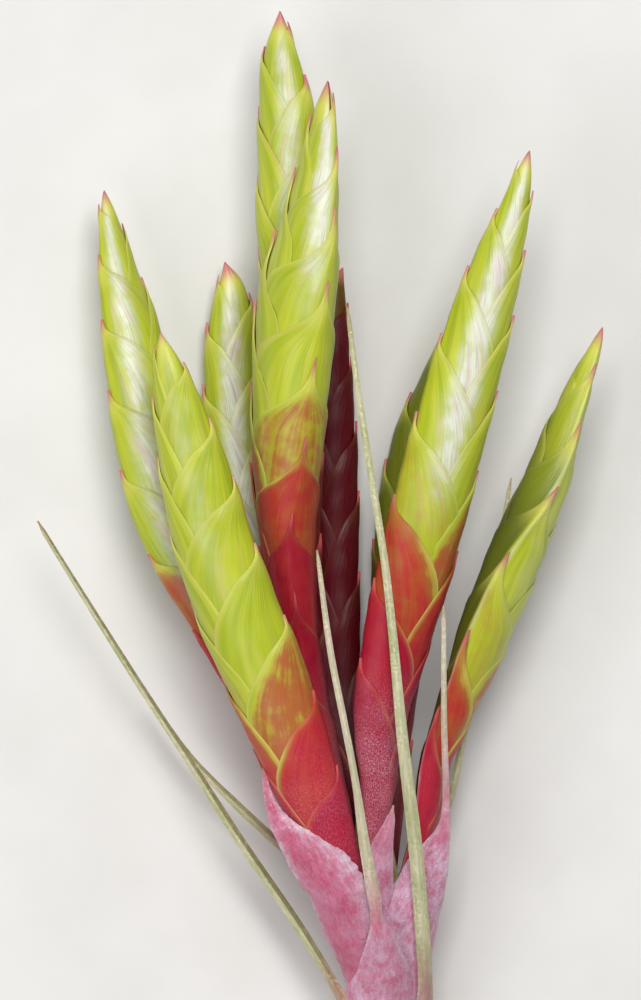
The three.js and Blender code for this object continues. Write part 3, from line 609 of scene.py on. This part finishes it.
def ear_section(path, s):
    """Across an ear at the distance s, an ellipse: its middle, its keel and face directions, turned by the
    roll, its half width and half thickness, the room for overlaps, which is less where the ear is thin, and
    its level side direction divided by the half width seen. The ellipse is as wide as it takes to look, when
    turned, as wide from above as the rows say, and it is cut down to the point at the end."""
    columns, side, front = along_path(path, s)
    w, roll = columns[..., 3], np.radians(columns[..., 4])
    seen = np.hypot(np.cos(roll), FLATNESS * np.sin(roll))
    left = np.maximum(path[1][-1] - s, 0)
    wide = np.maximum(w, LEAST_WIDTH) / seen + CREST * np.minimum(1, w / CREST_FULL)
    wide = wide * (1 - (1 - POINT_SHARE) * np.exp(-left / POINTED))
    turn, tilt = np.cos(roll)[:, None], np.sin(roll)[:, None]
    return (columns[:, :3], side * turn + front * tilt, front * turn - side * tilt, wide, FLATNESS * wide,
            np.minimum(1, wide / FULL_ROOM), side / np.maximum(w, 1)[:, None])


def ear_points(section, angle, lift):
    """Points of an ear's ellipse at the angle from its right keel. It is larger all round by the lift, in
    millimetres, times the room."""
    middle, keel, face, wide, thick, room, _ = section
    lift = lift * room[:, None]
    return (middle[:, None] + keel[:, None] * ((wide[:, None] + lift) * np.cos(angle))[..., None]
            + face[:, None] * ((thick[:, None] + lift) * np.sin(angle))[..., None])


def tip_places(ear):
    """How far along the ear each bract's tip lies. Down from the top the steps between tips grow by
    STEP_GROWTH from TIP_STEP to BRACT_STEP. The drop from the top is cut by the share FIRST_CROWDED at the
    first of them, which fades out over the next few, and is then stretched."""
    number = np.arange(MOST_BRACTS)
    drop = np.cumsum(np.minimum(BRACT_STEP, TIP_STEP + STEP_GROWTH * number))
    drop = drop * (1 - FIRST_CROWDED * np.exp(-number / CROWDED_BRACTS))
    tips = ear.length - ear.stretch * np.concatenate([[0], drop])
    return tips[tips > LOWEST_TIP]


def bract_shares(ear, k, u, s, below, turned, angle, inward, sideways):
    """The shares red, painted shade and silver sheen, and margin, pink tip and scurf, of bract k at the share
    u of its length. Red rises evenly from bract to bract, less by exp(-(way in / border)^2) along the
    margins.
    Painted shade lies all over, goes with the red, and falls on the face low down. Silver sheen, partly waxy
    bloom and partly a painted highlight, is a streak of exp(-(way off its middle / width)^2) down the ear,
    and a line on the ridge. Pink falls evenly from the tip and by exp(-(angle / width)^2) to the sides."""
    order = k - ear.reds + ear.early
    border, fade = next((width, strength) for last, width, strength in BORDERS if order <= last)
    bordered = ease(*BORDER_START, below)[:, None] if order >= 0 else 1
    red = np.clip((order + ear.soft) / (2 * ear.soft), 0, 1)
    red = red * (RED_TIP_SHARE + (1 - RED_TIP_SHARE) * ease(0, RED_TIP_LENGTH, 1 - u))[:, None] * ear.deep
    red = red * (1 - fade * bordered * np.exp(-(inward / border) ** 2) * (ear.reds > 0))
    # Painted shade: all over, with the red, and on the face low down
    dusk = ear.dusk * ease(*DUSK_SIDE, np.sin(angle)) * ease(*DUSK_END, s / ear.length)[:, None]
    shade = ear.olive + ear.dark * red + dusk
    # silver sheen, partly waxy bloom and partly a painted highlight, with a line of it on the ridge
    strength, shift, start = ear.silver
    streak = strength * np.exp(-((sideways - shift) / STREAK_WIDTH) ** 2)
    streak = streak * ease(start, start + STREAK_FADE, s / ear.length)[:, None]
    streak = np.maximum(streak * (1 - red), ear.line * np.exp(-(turned / LINE_WIDTH) ** 2))
    margin = np.exp(-(inward / MARGIN_WIDTH) ** 2) * bordered * (RED_MARGIN if order > RED_MARGIN_FROM else 1)
    pink = ear.blush * np.clip(1 - below / (PINK_FADE * ear.blushing), 0, 1)[:, None]
    pink = pink * np.exp(-(turned / PINK_WIDTH) ** 2 * (k > 0))
    scurf = ear.frost * ease(*FROSTED, s)[:, None]
    return layers(red, shade, streak), layers(margin, pink, scurf)


def ear_bract(ear, k, tip, jitter):
    """Bract k, counted from the top, with its tip at the given distance. It sits on the right or the left
    keel in turn. At the share u of its length its half angle is WRAP (1 - u^SHOULDER)^SHARPNESS, blunter in
    young bracts, and cut down to a narrow point near the tip; the topmost is a closed cone. It rises evenly
    by BRACT_DEPTH from foot to tip, with a ridge down its middle. The first few tips stand off the ear, and
    the others hug it. Margins and shoulders are pressed down, and the wall thins to the margins and the
    tip."""
    v = np.sin(np.linspace(-1, 1, BRACT_COLUMNS) * np.pi / 2)
    u = 1 - (1 - np.linspace(0, 1, BRACT_ROWS)) ** ROW_CROWDING
    long = min(BRACT_LENGTH, TIP_BRACT_LENGTH + LENGTH_GROWTH * k, tip)
    tip = tip + np.clip(TIP_JITTER * jitter[0], -MOST_TIP_JITTER, MOST_TIP_JITTER) * (k > 0)
    s = tip - long * (1 - u)
    below = tip - s
    section = ear_section(ear.path, s)
    middle, _, _, wide, thick, room, side = section

    young = max(0, 1 - k / YOUNG_BRACTS)
    point = ear.awl * (1 - YOUNG_AWL * young) * (1 + AWL_JITTER * jitter[5])
    gate = ear.awl_share + (1 - ear.awl_share) * ease(AWL_START * point, AWL_END * point, below)
    half = np.clip(1 - u ** SHOULDER, 0, 1) ** (SHARPNESS - YOUNG_SHARPNESS * young)
    half = WRAP * (1 + WRAP_JITTER * jitter[1]) * half * gate + AWL_HALF / thick
    if k == 0:
        half = CONE_WRAP * np.clip(1 - u ** CONE_SHOULDER, 0, 1) ** CONE_SHARPNESS + CONE_HALF
    left_row = (k % 2 == 0) == (ear.first == "left")
    roll = np.radians(np.interp(tip, ear.path[1], ear.path[0][:, 4]))
    edgewise = np.arctan2(FLATNESS * np.sin(roll), np.cos(roll))
    own = left_row * (np.pi - ear.gather * edgewise) + TURN_JITTER * jitter[2]
    in_front = v * (1 if np.cos(own) > 0 else -1) > 0
    before = 1 + ear.lean * np.cos(own) * (k > 0) - FRONT_TRIM * ear.gather * left_row
    behind = 1 + BACK_WIDENING * ear.gather * left_row
    turned = v * np.where(in_front, before, behind) * half[:, None]
    angle = own + turned

    lift = (BRACT_DEPTH * (u - 1) - TIP_HUG * ease(HUG_START, 1, u))[:, None]
    if k < len(TIP_SPREAD):
        lift = lift + (TIP_SPREAD[k] * ease(SPREAD_START, 1, u) / room)[:, None]
    press = MARGIN_PRESS + SHOULDER_PRESS * ease(*SHOULDER_ANGLES, half)[:, None]
    lift = lift + ear.ridge[0] * np.exp(-(turned / ear.ridge[1]) ** 2) - press * np.abs(v) ** EDGE_POWER
    lift = lift + RIPPLE * np.sin(s[:, None] * RIPPLE_RATE + RIPPLE_LAG * v + jitter[3])
    lift = lift + LIFT_JITTER * jitter[4]
    wall = MARGIN_WALL + BRACT_WALL * (1 - v ** EDGE_POWER)
    wall = wall * np.minimum(1, TIP_WALL + TIP_WALL_GROWTH * (1 - u[:, None]))
    outer = ear_points(section, angle, lift)
    inner = ear_points(section, angle, lift - wall)

    per_radian = np.hypot(thick[:, None] * np.cos(angle), wide[:, None] * np.sin(angle))
    inward = (1 - np.abs(v)) * half[:, None] * per_radian
    sideways = ((outer - middle[:, None]) * side[:, None]).sum(-1)
    tone, edge = bract_shares(ear, k, u, s, below, turned, angle, inward, sideways)
    lie = layers(v * BRACT_CENTIMETRES, s[:, None] / 10) + (MAP_STEP * k, 0)
    return leaf(outer, inner, BRACT_CLEARANCE, lie, tone, edge)


def ear_core(ear, low, high, red):
    """The core from low to high: a tube of the ear's own ellipse, sunk under the bracts and tapered at the
    top. Its shares are red and painted shade."""
    s = np.linspace(low, high, CORE_RINGS)
    angle = np.linspace(0, 2 * np.pi, CORE_COLUMNS + 1)[:-1] + 0 * s[:, None]
    section = ear_section(ear.path, s)
    middle = section[0][:, None]
    taper = 1 - CORE_TAPER * ease(ear.length - CORE_TAPERED, ear.length - CORE_SHORT, s)
    sunk = CORE_DEPTH - CORE_RISE * ease(ear.length - CORE_RISING[0], ear.length - CORE_RISING[1], s)
    rings = ear_points(section, angle, -sunk[:, None] - 0 * angle)
    rings = middle + (rings - middle) * taper[:, None, None]
    rings[..., 2] = np.maximum(rings[..., 2], CORE_CLEARANCE)
    # painted shade on the core
    shade = ear.olive + max(ear.dark, CORE_MAROON) * red
    lie = layers(angle * CORE_CENTIMETRES, s[:, None] / 10)
    tone = layers(red * ear.deep, shade, 0 * angle)
    return tube(rings, lie, tone, 0 * tone)


def spike_ear(name, rows, reds, seed, **given):
    """One ear in up to two pieces: its lime bracts and, from number reds on, its red ones, each piece with
    the core that fills it."""
    draws = np.random.default_rng(seed)
    ear = Ear(rows, reds, given)
    tips = tip_places(ear)
    bracts = [ear_bract(ear, k, tip, draws.normal(0, 1, 6)) for k, tip in enumerate(tips)]
    top = ear.length - CORE_SHORT
    split = tips[reds] - CORE_OVERLAP if 0 < reds < len(tips) else 0.0
    for kind, low, high, chosen in (("lime", split, top, bracts[:reds]),
                                    ("red", CORE_FOOT, split or top, bracts[reds:])):
        if chosen:
            core = ear_core(ear, low, high, kind == "red")
            grown_piece(f"spike_{name}_{kind}", [core] + chosen, waxy[kind])


LIME_FLUSH, YOUNG_LIME = colour(202, 178, 104), colour(218, 214, 96)
REDDENING = ((0.0, colour(186, 178, 60)), (0.3, colour(168, 100, 44)), (0.55, colour(180, 56, 44)),
             (0.78, colour(176, 30, 50)), (1.0, colour(164, 10, 48)))
# Colours of painted shade, on lime and on red
DARK_OLIVE, DARK_MAROON = colour(88, 96, 24), colour(74, 6, 16)
# Silver sheen colours, partly waxy bloom and partly painted highlight, and brown threads
SILVER_PALE, SILVER_ROSE, THREAD_BROWN = colour(222, 226, 212), colour(214, 198, 204), colour(146, 118, 104)
LIME_MARGIN, STRAW_MARGIN = colour(208, 216, 112), colour(214, 184, 122)
OCHRE_MARGIN, ROSE_MARGIN = colour(196, 150, 74), colour(206, 120, 100)
TIP_PEACH, TIP_PINK, TIP_RED = colour(214, 144, 122), colour(196, 94, 116), colour(206, 64, 76)
WAX_DUST = colour(226, 186, 204)
FLUSHED = 0.3
TURNING_END, STAIN_SHARE, MOTTLE_MIDDLE, MOTTLING = 1.1, 1.4, 1.2, 1.3
# The silver streaks, partly waxy bloom and partly painted highlight
STREAK_LEAST, STREAK_LINES, STREAKED, THREADED = 0.55, 0.45, 0.85, 0.5
# Margin strength, and how much of it the painted shade takes away
MARGIN_SHARE, DARK_MARGIN = 0.4, 0.34
PALER_SHARE, RED_PALER = 0.6, 1.2
CLOUD_LEAST, CLOUD_SHARE, DUST_LEAST = 0.5, 0.5, 0.06
WAX_ROUGHNESS, WAX_DUST_ROUGHNESS, VEIN_ROUGHNESS = 0.3, 0.3, 0.1
COAT_SHARE = 0.3
WAX_RELIEF, BAND_HEIGHT = 0.0001, 0.6  # metres, and a share of the veins' height


def waxy_bract(name, lime_deep, lime_pale, shine):
    """The waxy leaf of the ears: lime streaked with deeper green and a flush of tan, turned by the red share
    through orange to crimson, mottled while it turns, and darkened to olive or maroon by painted shade. Over
    it lie silvery streaks, partly waxy bloom and partly a painted highlight, with brown threads, a soft pale
    margin, a paler patch below the pink tip, and dusty scurf. The shine is the shader's specular level, and a
    coat takes a share of it."""
    material, tree, shader = skin(name, coat=COAT_SHARE * shine)
    shader.inputs["Specular IOR Level"].default_value = shine
    red, dark, silver = shares(tree, "tone")
    margin, pink, scurf = shares(tree, "edge")
    bands = grain(tree, across=5, along=0.35)
    brushed = grain(tree, across=13, along=0.7, seed=5.0)
    veins = grain(tree, across=34, along=0.9, detail=2.0)
    stain = speckle(tree, 260)

    lime = mixed(tree, between(tree, bands, 0.25, 0.75), lime_deep, lime_pale)
    lime = mixed(tree, times(tree, between(tree, brushed, 0.48, 0.72), FLUSHED), lime, LIME_FLUSH)
    turning = times(tree, red, less(tree, TURNING_END, red))
    mottled = less(tree, plus(tree, brushed, times(tree, stain, STAIN_SHARE)), MOTTLE_MIDDLE)
    reddened = plus(tree, red, times(tree, mottled, times(tree, turning, MOTTLING)), clamp=True)
    ramp = tree.nodes.new("ShaderNodeValToRGB")
    while len(ramp.color_ramp.elements) < len(REDDENING):
        ramp.color_ramp.elements.new(0.5)
    for stop, (place, paint) in zip(ramp.color_ramp.elements, REDDENING):
        stop.position, stop.color = place, paint
    join(tree, reddened, ramp.inputs["Fac"])
    ground = mixed(tree, between(tree, reddened, 0.03, 0.3), lime, ramp.outputs["Color"])
    # painted shade: olive on lime, maroon on red
    ground = mixed(tree, dark, ground, mixed(tree, reddened, DARK_OLIVE, DARK_MAROON))

    # silver streaks, partly waxy bloom and partly a painted highlight
    lines = times(tree, between(tree, plus(tree, veins, stain), 0.8, 1.15), STREAK_LINES)
    streak = times(tree, silver, plus(tree, STREAK_LEAST, lines), clamp=True)
    streak = times(tree, between(tree, streak, 0.05, 0.85), STREAKED)
    silvery = mixed(tree, between(tree, brushed, 0.42, 0.68), SILVER_PALE, SILVER_ROSE)
    ground = mixed(tree, streak, ground, silvery)
    threads = times(tree, times(tree, silver, THREADED), between(tree, veins, 0.55, 0.7), clamp=True)
    ground = mixed(tree, threads, ground, THREAD_BROWN)

    lime_line = mixed(tree, between(tree, brushed, 0.4, 0.65), LIME_MARGIN, STRAW_MARGIN)
    red_line = mixed(tree, between(tree, stain, 0.4, 0.6), OCHRE_MARGIN, ROSE_MARGIN)
    faint = times(tree, margin, less(tree, MARGIN_SHARE, times(tree, dark, DARK_MARGIN), clamp=True))
    ground = mixed(tree, faint, ground, mixed(tree, red, lime_line, red_line))
    paler = less(tree, PALER_SHARE, times(tree, red, RED_PALER), clamp=True)
    ground = mixed(tree, times(tree, between(tree, pink, 0.1, 0.6), paler), ground, YOUNG_LIME)
    rosy = mixed(tree, between(tree, brushed, 0.35, 0.65), TIP_PEACH, TIP_PINK)
    rosy = mixed(tree, red, rosy, TIP_RED)
    ground = mixed(tree, between(tree, pink, 0.5, 0.85), ground, rosy)

    cloudy = times(tree, between(tree, speckle(tree, 200), 0.3, 0.7), CLOUD_SHARE)
    cloudy = plus(tree, CLOUD_LEAST, cloudy)
    specks = between(tree, grain(tree, across=34, along=20, detail=5.0, seed=9.0, rough=0.95), 0.49, 0.62)
    dust = plus(tree, times(tree, specks, cloudy), times(tree, cloudy, DUST_LEAST))
    dust = times(tree, dust, scurf, clamp=True)
    ground = mixed(tree, dust, ground, WAX_DUST)
    dull = plus(tree, times(tree, dust, WAX_DUST_ROUGHNESS), times(tree, veins, VEIN_ROUGHNESS))
    height = plus(tree, veins, times(tree, bands, BAND_HEIGHT))
    finish(tree, shader, ground, plus(tree, WAX_ROUGHNESS, dull), height, WAX_RELIEF)
    return material


waxy = {"lime": waxy_bract("lime_leaf", colour(150, 168, 24), colour(187, 195, 46), shine=0.34),
        "red": waxy_bract("red_leaf", colour(168, 150, 50), colour(196, 170, 70), shine=0.18)}

SPIKE_A = [  # x, y, z, half width seen, roll
    (9.5, 17, 23.6, 3.4, 25), (3.8, 27, 28.6, 5.2, 25), (0.4, 34.8, 31, 6.4, 24), (-5.4, 50.6, 34, 7.6, 23),
    (-10.6, 64.2, 36, 8.4, 22), (-16.2, 77.2, 38, 8.5, 22), (-21.4, 91.8, 40, 8.1, 21),
    (-24, 101.8, 41.5, 7.5, 20), (-26.8, 112.8, 43, 6.1, 20), (-29.6, 123.6, 44.5, 3.9, 20),
    (-31.8, 133.4, 45.5, 0.8, 20)]
spike_ear("a", SPIKE_A, reds=11, seed=11, lean=0.3, silver=(0.3, -0.15, 0.45), frost=0.3, blush=0.75)

SPIKE_G = [
    (11.5, 26, 25.5, 2.4, -24), (10.8, 32, 26.5, 2.9, -24), (11.6, 42.4, 28.5, 4, -25),
    (11.9, 55.2, 30.5, 5.4, -27), (14.2, 67.2, 32, 6.6, -28), (19.7, 89.6, 34.5, 7.8, -24),
    (26.5, 116, 36.5, 7.4, -14), (30.8, 131.6, 37.5, 6.7, -8), (35.1, 146.4, 38.5, 5.2, -4),
    (38.7, 157.8, 39.3, 3.1, -2), (41.8, 169.8, 40, 0.8, 0)]
spike_ear("g", SPIKE_G, reds=11, seed=12, stretch=1.045, lean=-0.2, silver=(1, 0.1, 0.4), dark=0.15,
          frost=0.85)

SPIKE_I = [
    (16.5, 21, 20.5, 2.4, 127), (20.6, 34, 22, 3, 127), (22.9, 46.4, 23.3, 3.5, 126),
    (25.4, 53.8, 24, 4.1, 124), (29, 62.8, 24.6, 4.9, 119), (32.1, 71.2, 25, 5.8, 114),
    (38.6, 87.6, 25.6, 6.2, 101), (45.5, 104.4, 26, 5.3, 71), (50.8, 120, 26.2, 3.3, 58),
    (54.8, 129.6, 26.2, 1.6, 66), (56.6, 134.6, 26.2, 0.8, 70)]
spike_ear("i", SPIKE_I, reds=10, seed=13, stretch=1.06, awl=9, ridge=(0.9, 0.16), line=0.4,
          silver=(0.25, 0.5, 0.3), dusk=1.0, blushing=6)

SPIKE_C = [
    (6, 27, 22, 2.8, 90), (4.2, 36, 24, 3.4, 90), (0.8, 48, 26, 4, 90), (-3.8, 70, 27.5, 4.7, 89),
    (-6.2, 91.4, 30, 6, 88), (-6.5, 106.6, 32.5, 7.4, 74), (-5.6, 124.4, 35.5, 8.3, 68),
    (-4.4, 140, 38, 8.3, 57), (-2.7, 149.2, 39.5, 7.2, 53), (-1.2, 159.8, 40.8, 5.4, 48),
    (0.1, 168.2, 41.6, 4, 42), (1, 177.4, 42.2, 2.2, 42), (1.6, 183.6, 42.5, 0.8, 42)]
spike_ear("c", SPIKE_C, reds=11, seed=14, first="left", awl=9, awl_share=0.16, ridge=(0.35, 0.2), gather=0.8,
          silver=(1, 0.25, 0.64), dark=0.3, frost=0.35, deep=0.9, early=0.5, soft=3, blushing=6)

SPIKE_B = [
    (5.6, 27, 18, 3, -20), (-0.5, 38, 20, 4.6, -22), (-6.5, 50, 21, 5.4, -25), (-17, 71.4, 20.5, 6.4, -25),
    (-28.6, 92.8, 19, 7.3, -25), (-33.2, 108, 18, 7.4, -25), (-36, 123, 16.5, 6.9, -25),
    (-38, 134.4, 15.5, 6, -25), (-40.7, 146.8, 15, 3.9, -25), (-43.4, 162.2, 14, 0.8, -25)]
spike_ear("b", SPIKE_B, reds=13, seed=15, stretch=1.04, lean=-0.3, silver=(0.75, -0.12, 0.25), early=1.4)

SPIKE_D = [
    (9, 36, 20.5, 2.8, 30), (4, 50, 19.5, 3.6, 30), (0, 62, 19, 4, 30), (-3.4, 80, 19, 4.4, 30),
    (-5, 100, 19.5, 5.6, 30), (-5, 120, 20, 6.6, 30), (-5.4, 143, 21, 6.8, 30), (-6.4, 156, 22, 6.7, 30),
    (-6.4, 165.6, 22.5, 6.4, 30), (-6.8, 177.4, 23, 5.9, 30), (-7.8, 187.4, 23.4, 4.1, 30),
    (-8, 198, 24, 0.8, 30)]
spike_ear("d", SPIKE_D, reds=11, seed=16, stretch=1.03, first="left", silver=(0.65, 0.05, 0.5), dark=0.95,
          blush=0.95)

SPIKE_H = [
    (12.4, 17, 17.4, 2, 0), (13.4, 28, 15.5, 2.6, 0), (13.8, 40, 12.5, 3.4, 0), (14.8, 60, 10, 4.6, 0),
    (16, 80, 7.2, 5.8, 0), (17.8, 96, 5, 6.6, 0), (21.4, 111.4, 3.9, 6.9, 0), (26.8, 126, 4.2, 5.4, 0),
    (29.6, 134.2, 5.2, 3.6, 0), (32, 143, 6, 0.8, 0)]
spike_ear("h", SPIKE_H, reds=9, seed=17, silver=(0.2, 0, 0.4), olive=0.75)

SPIKE_E = [
    (7.4, 29, 15.2, 2.6, -12), (3.2, 40, 12.6, 3.4, -12), (-4.5, 60, 10.5, 4.4, -12),
    (-10.5, 80, 7.6, 5.2, -12), (-14.4, 96, 5.5, 5.8, -12), (-16.8, 110, 3.95, 6.1, -12),
    (-17.6, 121.8, 3.6, 6, -12), (-17.8, 133.4, 4.2, 5.2, -12), (-18, 142.6, 5.2, 3, -12),
    (-19.2, 148, 5.8, 0.8, -12)]
spike_ear("e", SPIKE_E, reds=9, seed=18, silver=(1, 0, 0.25), blush=0.95)

SPIKE_F = [
    (10, 30, 14.8, 2.6, 10), (8, 42, 10.8, 3.4, 10), (4.5, 60, 8.3, 4.4, 10), (2.8, 80, 7.8, 5.2, 10),
    (1.8, 108.2, 8, 5.8, 10), (1.2, 129.8, 8.6, 5, 10), (2.2, 140, 9, 3.2, 10), (4.6, 146.8, 9.4, 0.8, 10)]
spike_ear("f", SPIKE_F, reds=0, seed=19, olive=0.92, soft=1.0)

# The table, the light and the camera: a plain pale table just under the cut stalk, two soft light panels, one
# high above the flower head and one to its lower left, and a camera that looks straight down on it.

FLOOR_HALF, FLOOR_DROP = 14.0, 0.0002  # metres, as are all lengths from here on save the lens and sensor
FLOOR_DEEP, FLOOR_PALE, FLOOR_ROUGHNESS = colour(216, 214, 210), colour(221, 219, 216), 0.7
PANELS = (  # name, place, size, power in watts
    ("key_panel", (0.08, 0.37, 1.2), 0.5, 12.5), ("fill_panel", (-0.7, -0.35, 1.0), 0.9, 6))
STUDIO_GREY, STUDIO_STRENGTH = colour(236, 238, 240), 0.27
LENS, SENSOR = 700, 36  # millimetres
VIEW_HEIGHT, FOCUS_HEIGHT = 0.2, 0.03
VIEW_CENTRE = (0.00024, 0.01749)
NEAREST, FARTHEST = 0.1, 30

floor_finish, tree, shader = skin("pale_table")
clouds = between(tree, speckle(tree, 40, detail=5.0), 0.3, 0.7)
join(tree, mixed(tree, clouds, FLOOR_DEEP, FLOOR_PALE), shader.inputs["Base Color"])
shader.inputs["Roughness"].default_value = FLOOR_ROUGHNESS
corners = [(x * FLOOR_HALF, y * FLOOR_HALF, -FLOOR_DROP) for x, y in ((-1, -1), (1, -1), (1, 1), (-1, 1))]
floor_mesh = bpy.data.meshes.new("table_top")
floor_mesh.from_pydata(corners, [], [(0, 1, 2, 3)])
floor_mesh.materials.append(floor_finish)
placed("table_top", floor_mesh)

for title, place, size, power in PANELS:
    light = bpy.data.lights.new(title, "AREA")
    light.size = size
    light.energy = power
    lamp = placed(title, light)
    lamp.location = place
    toward = unit(np.array(place))
    lamp.rotation_euler = (np.arccos(toward[2]), 0, np.arctan2(toward[0], -toward[1]))

world = bpy.data.worlds.new("studio")
world.use_nodes = True
backdrop = world.node_tree.nodes["Background"].inputs
backdrop["Color"].default_value = STUDIO_GREY
backdrop["Strength"].default_value = STUDIO_STRENGTH
bpy.context.scene.world = world
bpy.context.scene.view_settings.view_transform = "Standard"

lens = bpy.data.cameras.new("long_lens")
lens.sensor_fit = "VERTICAL"
lens.sensor_height = SENSOR
lens.lens = LENS
lens.clip_start = NEAREST
lens.clip_end = FARTHEST
camera = placed("camera", lens)
camera.location = (*VIEW_CENTRE, FOCUS_HEIGHT + VIEW_HEIGHT * LENS / SENSOR)
bpy.context.scene.camera = camera
